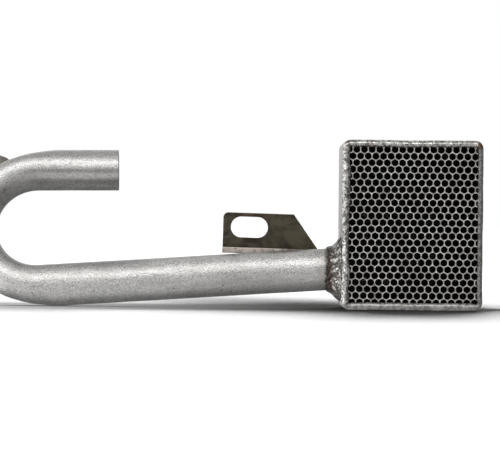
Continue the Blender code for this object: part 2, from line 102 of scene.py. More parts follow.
BRACKET_LENGTH = 62.0 * MM
BRACKET_TOP_LENGTH = 45.6 * MM
BRACKET_HEIGHT = 26.2 * MM
BRACKET_THICKNESS = 3.8 * MM
BRACKET_CORNER_RADIUS = 3.2 * MM
SLOT_LENGTH = 24.1 * MM
SLOT_WIDTH = 13.5 * MM
SLOT_CENTRE = (17.0 * MM, 17.0 * MM)
TAB_WIDTH = 18.0 * MM
TAB_HEIGHT = 22.0 * MM
TAB_CORNER_RADIUS = 4.0 * MM
TAB_TILT = math.radians(20.0)

# Fineness of the visible surfaces.
TUBE_SIDES = 96
TUBE_STEP = 2.0 * MM
BEND_STEPS = 96
LIP_STEPS = 4
BORE_STEP = 3
BEAD_STEP = 0.5 * MM
CORNER_STEPS = 10
SLEEVE_STEP = 4.0 * MM
FILLET_STEPS = 4
RIM_SECTION_POINTS = 24
TUBE_WELD_SIDES = 220
TUBE_WELD_POINTS = 30
BEAD_SIDES = 16

# Tube surface: shallow dents, orange peel, the inlet's rounded lip, and two bands of painted shade along the
# stub, as spans across the tube from its middle.
WAVE_DEPTH = 0.12 * MM
WAVE_SIZE = 22.0 * MM
PEEL_DEPTH = 0.015 * MM
PEEL_SIZE = 3.0 * MM
LIP_RADIUS = 0.7 * MM
STUB_SHADE_BANDS = ((-12.2 * MM, -9.4 * MM), (-7.2 * MM, -3.4 * MM))
SHADE_BAND_FADE = 0.8 * MM

# Sheet metal: broken edges, and how far the box walls sink between their welded edges.
SHEET_EDGE = 0.35 * MM
SHEET_WAVE = 0.35 * MM
SHEET_WAVE_SIZE = 30.0 * MM
GAS_HOLE_CUT = 8.0 * MM
PLATE_EDGE = 0.4 * MM
MERGE_DISTANCE = 0.005 * MM

# Honeycomb strips: thickness behind and at the front edge, gap where two strips meet, and how far the cells
# wander off their grid. The braze fillet starts this far from each corner of a cell.
WALL = 0.66 * MM
WALL_FRONT = 0.50 * MM
SEAM = 0.02 * MM
EDGE_ROUNDING = 0.22 * MM
CELL_WANDER = 0.22 * MM
WANDER_SIZE = 14.0 * MM
FILLET_LENGTH = 0.95 * MM

# Rim bead: its width on each side of the box, its corner, and the depth and size of its lumps and ripples.
RIM_TOP = 4.6 * MM
RIM_BOTTOM = 4.9 * MM
RIM_LEFT = 5.1 * MM
RIM_RIGHT = 3.5 * MM
RIM_CORNER = SHEET_CORNER + 1.2 * MM
RIM_WANDER = 0.45 * MM
RIM_WANDER_SIZE = 17.0 * MM
RIM_LUMPS = ((0.50 * MM, 3.6 * MM, 3.0), (0.16 * MM, 1.4 * MM, 5.0))
RIM_RIPPLE = 0.10 * MM
RIM_RIPPLE_PITCH = 2.1 * MM

# Weld round the tube: how deep it sits in the wall and the tube, and its lumps and ripples.
WALL_ROOT = 0.25 * MM
TUBE_ROOT = 0.35 * MM
TUBE_WELD_LUMPS = ((1.10 * MM, 4.6 * MM, 6.0), (0.35 * MM, 2.0 * MM, 8.0))
TUBE_WELD_RIPPLE = 0.12 * MM
TUBE_WELD_OVERRUN = 0.8 * MM

# Round beads: how full they are laid, their ripples, swells and grit, as shares of their radius.
BEAD_FULLNESS = 0.88
BEAD_RIPPLE = 0.05
BEAD_RIPPLE_PITCH = 1.7 * MM
BEAD_SWELL = 0.08
BEAD_SWELL_SIZE = 3.5 * MM
BEAD_GRIT = 0.07
BEAD_GRIT_SIZE = 1.2 * MM
BRACKET_WELD_INSET = 1.8 * MM
BRACKET_WELD_SHIFT = 0.35 * MM
BRACKET_BEAD_RADIUS = 2.8 * MM
TAB_WELD_TURN = (math.radians(120.0), math.radians(152.0))
TAB_WELD_LEAN = math.radians(15.0)
TAB_WELD_RADIUS = 3.3 * MM
TAB_WELD_ROOT = 0.8 * MM

# Colours of the two oxidised pieces, from deep to pale.
BRACKET_OXIDE = ((0.018, 0.014, 0.008), (0.085, 0.071, 0.048))
TAB_OXIDE = ((0.15, 0.14, 0.125), (0.38, 0.365, 0.335))

# Floor: half its side, and the openness at which its painted contact shadow is darkest and at which it ends.
FLOOR_REACH = 40.0
FLOOR_STEPS = 12
FLOOR_DROP = 0.1 * MM
CONTACT_REACH = 0.18
CONTACT_DARKEST = 0.72
CONTACT_END = 0.96
CONTACT_AT_BEND = 0.3

# Brightness of what the metal mirrors on each side.
BELOW_FRONT = 0.98
BELOW_REAR = 0.22
ABOVE = 0.85
RIGHT = 0.32
LEFT = 2.3

# Lights. Azimuth 0 is the camera's side, and 90 degrees is the box's side. The suns are given by their name,
# azimuth, elevation, strength and spread.
LIGHT_DISTANCE = 1.2
KEY_AZIMUTH = math.radians(-8.0)
KEY_ELEVATION = math.radians(47.0)
KEY_SIZE = (1.1, 0.38)
KEY_POWER = 6.0
FLOOR_SUNS = (
    ("floor_rear", math.radians(170.0), math.radians(52.0), 2.4, math.radians(26.0)),
    ("floor_front", math.radians(50.0), math.radians(30.0), 4.0, math.radians(24.0)),
)

CAMERA_X = 20.4 * MM
CAMERA_Z = 51.3 * MM
CAMERA_DISTANCE = 0.83
CAMERA_SENSOR = 36.0
CAMERA_LENS = 96.65
CAMERA_ROLL = math.radians(-0.55)

# Places taken from the frame.
SHELL_LOW, SHELL_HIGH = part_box("box_shell")
RIM_LOW, RIM_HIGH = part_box("rim_weld")
TUBE_WELD_LOW, TUBE_WELD_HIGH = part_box("tube_weld")
STRIP_LOW, STRIP_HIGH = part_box("honeycomb_strip_01")
BOX_CENTRE = (SHELL_LOW + SHELL_HIGH) / 2
RIM_MIDDLE_Y = (RIM_LOW.y + RIM_HIGH.y) / 2
BOX_BOTTOM_Z = BOX_CENTRE.z - BOX_HEIGHT / 2
TUBE_START = Vector((TUBE_WELD_HIGH.x, RIM_MIDDLE_Y + INLET_Y, BOX_BOTTOM_Z + INLET_Z))


# Node helpers

class Nodes:
    """Short calls for building the node tree of a material or a world."""

    def __init__(self, owner, coordinates="Object"):
        self.owner = owner
        self.owner.use_nodes = True
        self.tree = owner.node_tree
        self.place = self.add("ShaderNodeTexCoord").outputs[coordinates]

    def put(self, socket, value):
        """Links an output, or sets a plain value."""
        if isinstance(value, bpy.types.NodeSocket):
            self.tree.links.new(value, socket)
        else:
            socket.default_value = value

    def add(self, kind, inputs=(), **settings):
        """A new node with these inputs and settings."""
        node = self.tree.nodes.new(kind)
        for key, value in settings.items():
            setattr(node, key, value)
        for key, value in dict(inputs).items():
            self.put(node.inputs[key], value)
        return node

    def scaled(self, x, y, z, place=None):
        """Coordinates stretched along each axis."""
        inputs = {"Vector": place or self.place, "Scale": (x, y, z)}
        return self.add("ShaderNodeMapping", inputs).outputs[0]

    def noise(self, scale, detail=3.0, roughness=0.55, place=None, distortion=0.0):
        inputs = {"Vector": place or self.place, "Scale": scale, "Detail": detail,
                  "Roughness": roughness, "Distortion": distortion}
        return self.add("ShaderNodeTexNoise", inputs).outputs["Fac"]

    def cells(self, scale):
        inputs = {"Vector": self.place, "Scale": scale}
        return self.add("ShaderNodeTexVoronoi", inputs).outputs["Distance"]

    def times(self, first, second):
        return self.math("MULTIPLY", first, second)

    def wavering(self, scale, width):
        """A noise that swings by up to half the width each way, to make a border ragged."""
        return self.times(self.math("SUBTRACT", self.noise(scale, 3.0), 0.5), width)

    def span(self, value, low, high, to_low=0.0, to_high=1.0):
        """Maps low..high smoothly to to_low..to_high, and holds it outside."""
        inputs = {"Value": value, "From Min": low, "From Max": high, "To Min": to_low, "To Max": to_high}
        return self.add("ShaderNodeMapRange", inputs, interpolation_type="SMOOTHSTEP").outputs["Result"]

    def math(self, operation, first, second=0.0):
        return self.add("ShaderNodeMath", {0: first, 1: second}, operation=operation).outputs[0]

    def mix(self, share, first, second):
        inputs = {"Factor": share, "A": self.colour(first), "B": self.colour(second)}
        return self.add("ShaderNodeMix", inputs, data_type="RGBA").outputs["Result"]

    def colour(self, value):
        if isinstance(value, bpy.types.NodeSocket):
            return value
        return (*value, 1.0)

    def axis(self, letter):
        return self.add("ShaderNodeSeparateXYZ", {"Vector": self.place}).outputs[letter]

    def bump(self, height, distance, strength=1.0, under=None):
        inputs = {"Height": height, "Distance": distance, "Strength": strength}
        if under is not None:
            inputs["Normal"] = under
        return self.add("ShaderNodeBump", inputs).outputs["Normal"]

    def finish(self, colour, roughness, metallic, normal=None):
        """Gives the material's shader its looks."""
        inputs = self.tree.nodes["Principled BSDF"].inputs
        self.put(inputs["Base Color"], self.colour(colour))
        self.put(inputs["Roughness"], roughness)
        self.put(inputs["Metallic"], metallic)
        if normal is not None:
            self.put(inputs["Normal"], normal)
        return self.owner


def new_material(name):
    return Nodes(bpy.data.materials.new(name))


# Materials

def tube_steel():
    """Mill-finish pipe: sparkling grain, small dark pits, streaks along it, two bands of painted shade along
    the stub, and a burnt tint by the weld.
    """
    nodes = new_material("tube_steel")
    along = nodes.add("ShaderNodeAttribute", attribute_name=TUBE_PLACE).outputs["Vector"]
    grain = nodes.noise(2600.0, 2.0, 0.6)
    specks = nodes.noise(1250.0, 3.0, 0.7, nodes.scaled(1.0 / 1.1, 1.0, 1.0, along))
    blotches = nodes.noise(90.0, 5.0, 0.65)
    streaks = nodes.noise(560.0, 3.0, 0.6, nodes.scaled(0.2, 1.0, 1.0, along))
    bands = nodes.noise(75.0, 2.0, 0.5, nodes.scaled(1.0 / 12.0, 1.0, 1.0, along))
    pits = nodes.span(nodes.cells(210.0), 0.07, 0.17, 1.0, 0.0)
    pit_patches = nodes.span(nodes.noise(55.0, 2.0), 0.50, 0.62)
    pits = nodes.times(pits, pit_patches)

    colour = nodes.mix(nodes.span(specks, 0.40, 0.60), (0.35, 0.346, 0.337), (0.61, 0.604, 0.592))
    colour = nodes.mix(nodes.span(blotches, 0.35, 0.7, 0.0, 0.3), colour, (0.25, 0.24, 0.228))
    colour = nodes.mix(nodes.span(streaks, 0.50, 0.72, 0.0, 0.35), colour, (0.20, 0.195, 0.187))
    colour = nodes.mix(nodes.span(bands, 0.50, 0.66, 0.0, 0.45), colour, (0.22, 0.213, 0.204))
    colour = nodes.mix(nodes.times(pits, 0.8), colour, (0.05, 0.045, 0.04))

    place = nodes.add("ShaderNodeSeparateXYZ", {"Vector": along}).outputs
    stub_start = RUN_LENGTH + BEND_LENGTH
    on_stub = nodes.span(place["X"], stub_start - 25.0 * MM, stub_start + 5.0 * MM, 0.0, 0.6)
    # Painted shade: two dark bands along the stub stand in for the darker reflection there.
    for low, high in STUB_SHADE_BANDS:
        middle = (low + high) / 2
        shade_band = nodes.times(nodes.span(place["Y"], low - SHADE_BAND_FADE, middle),
                             nodes.span(place["Y"], middle, high + SHADE_BAND_FADE, 1.0, 0.0))
        colour = nodes.mix(nodes.times(shade_band, on_stub), colour, (0.14, 0.136, 0.13))

    toe = TUBE_WELD_LOW.x
    to_weld = nodes.math("ADD", nodes.axis("X"), nodes.wavering(220.0, 6.0 * MM))
    tint = nodes.span(to_weld, toe - 12.0 * MM, toe - 1.0 * MM, 0.0, 0.35)
    colour = nodes.mix(tint, colour, (0.24, 0.21, 0.185))
    to_soot = nodes.math("ADD", to_weld, nodes.wavering(420.0, 5.0 * MM))
    burnt = nodes.span(to_soot, toe - 2.6 * MM, toe + 0.4 * MM, 0.0, 0.92)
    colour = nodes.mix(burnt, colour, (0.03, 0.023, 0.018))

    roughness = nodes.span(specks, 0.3, 0.7, 0.22, 0.45)
    normal = nodes.bump(grain, 0.09 * MM, 0.6)
    normal = nodes.bump(specks, 0.30 * MM, 0.8, normal)
    normal = nodes.bump(streaks, 0.06 * MM, 0.5, normal)
    normal = nodes.bump(pits, -0.25 * MM, 0.8, normal)
    return nodes.finish(colour, roughness, 0.92, normal)


def weld_metal():
    """Fused metal: bright humps, painted shade in its concave places and over the tube fillet, dark slag in
    flecks, and a few straw and brown tints.
    """
    nodes = new_material("weld_metal")
    grit = nodes.noise(1300.0, 3.0, 0.65)
    humps = nodes.noise(480.0, 3.0, 0.6, None, 0.6)
    tint_patches = nodes.span(nodes.noise(70.0, 3.0), 0.58, 0.70)
    slag = nodes.span(nodes.noise(560.0, 4.0, 0.7), 0.57, 0.66)
    crests = nodes.add("ShaderNodeNewGeometry").outputs["Pointiness"]

    colour = nodes.mix(nodes.span(humps, 0.40, 0.60), (0.14, 0.136, 0.129), (0.52, 0.512, 0.495))
    colour = nodes.mix(nodes.times(tint_patches, 0.5), colour, (0.17, 0.095, 0.06))
    colour = nodes.mix(nodes.times(slag, 0.75), colour, (0.035, 0.03, 0.026))
    # Painted shade: darkens the concave places of the bead mesh, where shade falls.
    colour = nodes.mix(nodes.span(crests, 0.455, 0.505, 0.95, 0.0), colour, (0.02, 0.017, 0.015))

    # Painted shade: dark noise patches over the tube fillet, for the shade in its crevices.
    over_tube = nodes.span(nodes.axis("X"), RIM_LOW.x - 0.5 * MM, RIM_LOW.x + 1.5 * MM, 0.9, 0.0)
    fillet_shade_patches = nodes.span(nodes.noise(340.0, 4.0, 0.65, None, 1.0), 0.41, 0.54)
    colour = nodes.mix(nodes.times(over_tube, fillet_shade_patches), colour, (0.04, 0.032, 0.026))
    toe = TUBE_WELD_LOW.x
    to_toe = nodes.math("ADD", nodes.axis("X"), nodes.wavering(260.0, 6.0 * MM))
    burnt = nodes.span(to_toe, toe + 1.8 * MM, toe + 4.4 * MM, 0.96, 0.0)
    burnt = nodes.times(burnt, nodes.span(nodes.axis("X"), toe - 2.0 * MM, toe - 1.0 * MM))
    colour = nodes.mix(burnt, colour, (0.035, 0.025, 0.02))
    # Partly painted shade: the rim's right and bottom get a darker, more even grey, and partly a duller
    # finish through the roughness.
    right = nodes.span(nodes.axis("X"), RIM_HIGH.x - 4.5 * MM, RIM_HIGH.x - 3.0 * MM)
    bottom = nodes.span(nodes.axis("Z"), RIM_LOW.z + 3.5 * MM, RIM_LOW.z + 5.5 * MM, 1.0, 0.0)
    dull_and_shaded_sides = nodes.math("MAXIMUM", right, bottom)
    colour = nodes.mix(nodes.times(dull_and_shaded_sides, 0.55), colour, (0.22, 0.215, 0.205))
    rust = nodes.span(nodes.noise(300.0, 3.0), 0.46, 0.60, 0.0, 0.85)
    for corner_x in (RIM_LOW.x, RIM_HIGH.x - 4.0 * MM):
        corner = (corner_x, RIM_MIDDLE_Y, RIM_HIGH.z - 2.0 * MM)
        distance = nodes.add("ShaderNodeVectorMath", {0: nodes.place, 1: corner}, operation="DISTANCE")
        near = nodes.span(distance.outputs["Value"], 2.0 * MM, 8.0 * MM, 1.0, 0.0)
        colour = nodes.mix(nodes.times(near, rust), colour, (0.16, 0.07, 0.04))

    roughness = nodes.span(humps, 0.3, 0.7, 0.12, 0.26)
    roughness = nodes.math("ADD", roughness, nodes.times(dull_and_shaded_sides, 0.2))
    normal = nodes.bump(humps, 0.12 * MM, 0.5)
    normal = nodes.bump(grit, 0.06 * MM, 0.5, normal)
    return nodes.finish(colour, roughness, 0.95, normal)


def box_steel():
    """Satin sheet with a fine rolled grain, heat-tinted along its front and rear welds."""
    nodes = new_material("box_steel")
    grain = nodes.noise(500.0, 3.0, 0.6, nodes.scaled(1.0, 0.12, 1.0))
    specks = nodes.noise(900.0, 3.0, 0.7)
    clouds = nodes.noise(45.0, 4.0, 0.6)
    colour = nodes.mix(nodes.span(specks, 0.35, 0.65), (0.28, 0.276, 0.268), (0.44, 0.435, 0.424))
    colour = nodes.mix(nodes.span(clouds, 0.4, 0.7, 0.0, 0.5), colour, (0.25, 0.243, 0.232))

    depth = nodes.math("ADD", nodes.axis("Y"), nodes.wavering(160.0, 5.0 * MM))
    front = SHELL_LOW.y
    straw = nodes.span(depth, front + 2.0 * MM, front + 7.0 * MM, 0.5, 0.0)
    colour = nodes.mix(straw, colour, (0.36, 0.27, 0.19))
    colour = nodes.mix(nodes.span(depth, front, front + 2.6 * MM, 0.55, 0.0), colour, (0.16, 0.15, 0.17))
    rear = SHELL_HIGH.y
    colour = nodes.mix(nodes.span(depth, rear - 5.0 * MM, rear, 0.0, 0.45), colour, (0.33, 0.26, 0.19))

    roughness = nodes.span(specks, 0.3, 0.7, 0.30, 0.46)
    normal = nodes.bump(grain, 0.08 * MM, 0.5)
    normal = nodes.bump(specks, 0.06 * MM, 0.4, normal)
    return nodes.finish(colour, roughness, 0.92, normal)


def honeycomb_foil():
    """Heat-dulled strip: pale along the cut front edges, with painted shade making it near-black down inside
    the cells.
    """
    nodes = new_material("honeycomb_foil")
    specks = nodes.noise(650.0, 3.0, 0.7)
    patches = nodes.noise(55.0, 3.0, 0.6)
    edge = nodes.mix(nodes.span(specks, 0.35, 0.7), (0.24, 0.234, 0.223), (0.70, 0.69, 0.668))
    edge = nodes.mix(nodes.span(patches, 0.45, 0.7, 0.0, 0.45), edge, (0.25, 0.21, 0.19))
    front = STRIP_LOW.y
    # Painted shade: the walls turn near-black a little behind their front edge, down inside the cells.
    inside = nodes.span(nodes.axis("Y"), front + 0.1 * MM, front + 0.9 * MM)
    colour = nodes.mix(inside, edge, (0.035, 0.03, 0.027))
    roughness = nodes.span(nodes.axis("Y"), front, front + 1.0 * MM, 0.42, 0.75)
    normal = nodes.bump(specks, 0.10 * MM, 0.5)
    return nodes.finish(colour, roughness, 0.85, normal)


def dark_sheet():
    """Perforated sheet behind the honeycomb, painted near-black as the shade at the bottom of the cells."""
    nodes = new_material("perforated_sheet")
    clouds = nodes.noise(120.0, 3.0, 0.6)
    # Painted shade: near-black, for the shade at the bottom of the cells.
    colour = nodes.mix(clouds, (0.012, 0.011, 0.010), (0.03, 0.027, 0.024))
    normal = nodes.bump(nodes.noise(600.0, 2.0), 0.05 * MM, 0.4)
    return nodes.finish(colour, nodes.span(clouds, 0.3, 0.7, 0.6, 0.8), 0.6, normal)


def oxide_steel(name, deep, pale_oxide):
    """Hot-rolled plate with its oxide: clouds, brown patches, scratches, and a pale front to the leg."""
    nodes = new_material(name)
    clouds = nodes.noise(70.0, 4.0, 0.6, None, 0.4)
    warm = nodes.noise(38.0, 3.0, 0.6)
    grain = nodes.noise(800.0, 3.0, 0.7)
    scratches = nodes.noise(260.0, 2.0, 0.5, nodes.scaled(0.15, 1.0, 1.6))
    colour = nodes.mix(nodes.span(clouds, 0.35, 0.65), deep, pale_oxide)
    colour = nodes.mix(nodes.span(warm, 0.46, 0.62, 0.0, 0.5), colour, (0.095, 0.058, 0.038))
    colour = nodes.mix(nodes.span(scratches, 0.62, 0.75, 0.0, 0.35), colour, (0.16, 0.15, 0.125))
    colour = nodes.mix(nodes.span(grain, 0.55, 0.8, 0.0, 0.35), colour, (0.14, 0.125, 0.10))
    low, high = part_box("slotted_bracket")
    foot = nodes.span(nodes.axis("Y"), low.y + 0.2 * MM, low.y + 2.5 * MM, 1.0, 0.0)
    foot = nodes.times(foot, nodes.span(nodes.noise(330.0, 3.0), 0.38, 0.52, 0.55, 1.0))
    along_foot = nodes.span(nodes.axis("X"), low.x + 34.0 * MM, low.x + 48.0 * MM, 1.0, 0.25)
    foot = nodes.times(foot, along_foot)
    pale = nodes.mix(nodes.span(clouds, 0.3, 0.7), (0.34, 0.29, 0.255), (0.60, 0.54, 0.49))
    colour = nodes.mix(foot, colour, pale)
    roughness = nodes.span(clouds, 0.3, 0.7, 0.42, 0.6)
    normal = nodes.bump(grain, 0.06 * MM, 0.5)
    normal = nodes.bump(clouds, 0.15 * MM, 0.3, normal)
    return nodes.finish(colour, roughness, 0.7, normal)


# Mesh helpers

def add_object(name, data):
    """A new object in the scene."""
    item = bpy.data.objects.new(name, data)
    bpy.context.scene.collection.objects.link(item)
    return item


def to_mesh(shape, name):
    """Turns a bmesh into a mesh."""
    mesh = bpy.data.meshes.new(name)
    shape.to_mesh(mesh)
    shape.free()
    return mesh


def place_piece(name, mesh, material, slot_name, *replaced):
    """Puts a finished mesh in the scene as a piece that rides on the body and stands for its CAD nodes."""
    mesh.materials.clear()
    mesh.materials.append(material)
    piece = add_object(name, mesh)
    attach(piece, BODY)
    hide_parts(*replaced)
    return piece


def join_rows(shape, rows):
    """Quads between each row of points and the next. Every row is a ring."""
    for here, there in zip(rows, rows[1:]):
        for index in range(len(here)):
            following = (index + 1) % len(here)
            shape.faces.new((here[index], here[following], there[following], there[index]))


def mesh_from_rings(name, rings, close_rows):
    """Joins rings of equal length into a smooth mesh. Open rows get a face over each end."""
    shape = bmesh.new()
    rows = [[shape.verts.new(point) for point in ring] for ring in rings]
    if close_rows:
        join_rows(shape, rows + rows[:1])
    else:
        join_rows(shape, rows)
        shape.faces.new(rows[0])
        shape.faces.new(rows[-1])
    bmesh.ops.recalc_face_normals(shape, faces=shape.faces)
    mesh = to_mesh(shape, name)
    mesh.shade_smooth()
    return mesh


def lumps(point, size, seed=0.0):
    """Smooth noise from -1 to 1 with features of the given size."""
    return noise.noise(point / size + Vector((seed, seed * 1.7, seed * 2.3)))


def smoothstep(share):
    share = min(max(share, 0.0), 1.0)
    return share * share * (3.0 - 2.0 * share)


# The tube's centre line, as in the CAD

def direction(toward_x, rise, swing):
    return Vector((
        toward_x * math.cos(rise) * math.cos(swing),
        math.cos(rise) * math.sin(swing),
        math.sin(rise),
    )).normalized()


RUN_DIRECTION = direction(-1.0, -RUN_FALL, -RUN_SWING)
STUB_DIRECTION = direction(1.0, STUB_RISE, STUB_SWING)
BEND_START = TUBE_START + RUN_DIRECTION * RUN_LENGTH
BEND_LENGTH = BEND_RADIUS * math.pi
TUBE_SLOPE = Vector((0.0, RUN_DIRECTION.y, RUN_DIRECTION.z)) * 0.5


def bend_frame(turn):
    """Tangent and outward direction after the bend has turned by this angle, from 0 to pi."""
    share = turn / math.pi
    heading = (RUN_DIRECTION * (1.0 - share) - STUB_DIRECTION * share).normalized()
    lift = Vector((0.0, math.sin(BEND_LEAN), math.cos(BEND_LEAN)))
    lift = (lift - RUN_DIRECTION * lift.dot(RUN_DIRECTION)).normalized()
    tangent = (heading * math.cos(turn) + lift * math.sin(turn)).normalized()
    outward = heading * math.sin(turn) - lift * math.cos(turn)
    return tangent, (outward - tangent * outward.dot(tangent)).normalized()


def flattening(distance_into_bend):
    """How far the outer side is pressed in at this distance past the start of the bend."""
    from_nearest_end = min(distance_into_bend, BEND_LENGTH - distance_into_bend)
    return BEND_FLATTENING * smoothstep((from_nearest_end + FLATTENING_LEAD) / (2 * FLATTENING_LEAD))


def tube_stations():
    """Centre, tangent, outward direction and flattening, step by step along the whole centre line."""
    stations = []
    _, outward = bend_frame(0.0)
    run_steps = round(RUN_LENGTH / TUBE_STEP)
    for index in range(run_steps):
        distance = RUN_LENGTH * index / run_steps
        centre = TUBE_START + RUN_DIRECTION * distance
        stations.append((centre, RUN_DIRECTION, outward, flattening(distance - RUN_LENGTH)))
    centre = BEND_START.copy()
    step = math.pi / BEND_STEPS
    for index in range(BEND_STEPS + 1):
        tangent, outward = bend_frame(index * step)
        stations.append((centre.copy(), tangent, outward, flattening(BEND_RADIUS * index * step)))
        middle_tangent, _ = bend_frame((index + 0.5) * step)
        centre += middle_tangent * BEND_RADIUS * step
    bend_end = stations[-1][0]
    _, outward = bend_frame(math.pi)
    outward = (outward - STUB_DIRECTION * outward.dot(STUB_DIRECTION)).normalized()
    stub_steps = round(STUB_LENGTH / TUBE_STEP)
    for index in range(1, stub_steps + 1):
        distance = STUB_LENGTH * index / stub_steps
        pressed = flattening(BEND_LENGTH + distance)
        stations.append((bend_end + STUB_DIRECTION * distance, STUB_DIRECTION, outward, pressed))
    return stations


def tube_ring(station, radius, shift=0.0, wavy=True):
    """One ring round the centre line, moved along it by shift. The outer half is pressed in by the bend."""
    centre, tangent, outward, pressed = station
    across = tangent.cross(outward)
    ring = []
    for index in range(TUBE_SIDES):
        angle = FULL_TURN * index / TUBE_SIDES
        reach = radius * math.cos(angle)
        if reach > 0.0:
            reach -= TUBE_RADIUS * pressed * math.cos(angle)
        point = centre + tangent * shift + outward * reach + across * radius * math.sin(angle)
        if wavy:
            dent = WAVE_DEPTH * (lumps(point, WAVE_SIZE) - 1.0) / 2
            dent += PEEL_DEPTH * lumps(point, PEEL_SIZE, 4.0)
            point += (point - centre).normalized() * dent
        ring.append(point)
    return ring


def mark_along(mesh, alongs):
    """Gives every point of the tube its distance along the centre line and its place round it."""
    places = mesh.attributes.new(TUBE_PLACE, "FLOAT_VECTOR", "POINT")
    for number, point in enumerate(places.data):
        ring, side = divmod(number, TUBE_SIDES)
        angle = FULL_TURN * side / TUBE_SIDES
        point.vector = (alongs[ring], TUBE_RADIUS * math.cos(angle), TUBE_RADIUS * math.sin(angle))


def build_mixing_tube(material, stations):
    """A loft along the outside, over the rounded lip of the inlet and back along the bore."""
    distances = [0.0]
    for before, after in zip(stations, stations[1:]):
        distances.append(distances[-1] + (after[0] - before[0]).length)
    bore = TUBE_RADIUS - TUBE_WALL
    rings = [tube_ring(station, TUBE_RADIUS) for station in stations[:-1]]
    alongs = distances[:-1]
    mouth = stations[-1]
    lip = []
    for index in range(LIP_STEPS + 1):
        angle = math.pi / 2 * index / LIP_STEPS
        lip.append((LIP_RADIUS * (1.0 - math.cos(angle)), LIP_RADIUS * (1.0 - math.sin(angle))))
    over_lip = [(TUBE_RADIUS - inset, back) for inset, back in lip]
    over_lip += [(bore + inset, back) for inset, back in reversed(lip)]
    for radius, back in over_lip:
        rings.append(tube_ring(mouth, radius, -back, wavy=False))
        alongs.append(distances[-1])
    inner = list(zip(stations, distances))[-2:0:-BORE_STEP] + [(stations[0], 0.0)]
    for station, distance in inner:
        rings.append(tube_ring(station, bore, wavy=False))
        alongs.append(distance)
    for ring in (rings[0], rings[-1]):
        for point in ring:
            point += RUN_DIRECTION * ((TUBE_START.x - point.x) / RUN_DIRECTION.x)
    mesh = mesh_from_rings("mixing_tube_surface", rings, close_rows=True)
    mark_along(mesh, alongs)
    place_piece("mixing_tube_surface", mesh, material, "tube_steel", "mixing_tube")


# Sheet metal

def rounded_path(half_width, half_height, radius, side_step):
    """Points of a rounded rectangle round the origin with their outward normals, counter-clockwise."""
    path = []
    corners = ((1, 1), (-1, 1), (-1, -1), (1, -1))
    for quarter, (sign_x, sign_z) in enumerate(corners):
        centre = Vector((sign_x * (half_width - radius), sign_z * (half_height - radius)))
        for index in range(CORNER_STEPS + 1):
            angle = (quarter + index / CORNER_STEPS) * math.pi / 2
            normal = Vector((math.cos(angle), math.sin(angle)))
            path.append((centre + normal * radius, normal))
        next_x, next_z = corners[(quarter + 1) % 4]
        next_centre = Vector((next_x * (half_width - radius), next_z * (half_height - radius)))
        start = path[-1][0]
        end = next_centre + normal * radius
        steps = max(2, round((end - start).length / side_step))
        for index in range(1, steps):
            path.append((start.lerp(end, index / steps), normal))
    return path


def build_box_shell(material):
    """The folded sleeve, whose walls sink slightly between their welded edges, with its gas hole."""
    half_width = (SHELL_HIGH.x - SHELL_LOW.x) / 2
    half_height = (SHELL_HIGH.z - SHELL_LOW.z) / 2
    depth = SHELL_HIGH.y - SHELL_LOW.y
    path = rounded_path(half_width, half_height, SHEET_CORNER, SLEEVE_STEP)
    levels = [0.0, SHEET_EDGE]
    steps = round(depth / SLEEVE_STEP)
    levels += [depth * index / steps for index in range(1, steps)]
    levels += [depth - SHEET_EDGE, depth]

    def ring(inset, level):
        points = []
        for point, normal in path:
            straight = 1.0 - min(1.0, 4.0 * abs(normal.x * normal.y))
            middle = 1.0 - (abs(point.x * normal.x) / half_width * abs(point.y / half_height) ** 2)
            middle *= 1.0 - (abs(point.y * normal.y) / half_height * abs(point.x / half_width) ** 2)
            bow = math.sin(math.pi * level / depth)
            place = Vector((BOX_CENTRE.x + point.x, SHELL_LOW.y + level, BOX_CENTRE.z + point.y))
            sunk = SHEET_WAVE * straight * bow * middle * (0.6 + 0.4 * lumps(place, SHEET_WAVE_SIZE))
            moved = point - normal * (inset + sunk)
            points.append(Vector((BOX_CENTRE.x + moved.x, place.y, BOX_CENTRE.z + moved.y)))
        return points

    rings = []
    for level in levels:
        rings.append(ring(SHEET_EDGE if level in (0.0, depth) else 0.0, level))
    for level in reversed(levels):
        rings.append(ring(SHEET - SHEET_EDGE if level in (0.0, depth) else SHEET, level))
    mesh = mesh_from_rings("box_sleeve", rings, close_rows=True)
    mesh.set_sharp_from_angle(angle=math.radians(50.0))
    sleeve = place_piece("box_sleeve", mesh, material, "box_steel", "box_shell")

    shape = bmesh.new()
    bore = TUBE_RADIUS - TUBE_WALL
    bmesh.ops.create_cone(
        shape, cap_ends=True, segments=TUBE_SIDES, radius1=bore, radius2=bore, depth=GAS_HOLE_CUT,
        matrix=Matrix.Translation(TUBE_START) @ Matrix.Rotation(math.pi / 2, 4, "Y"))
    cutter = add_object("gas_hole_cutter", to_mesh(shape, "gas_hole_cutter"))
    cutter.hide_render = True
    cutter.display_type = "WIRE"
    hole = sleeve.modifiers.new("gas_hole", "BOOLEAN")
    hole.object = cutter
    hole.operation = "DIFFERENCE"
    hole.solver = "EXACT"


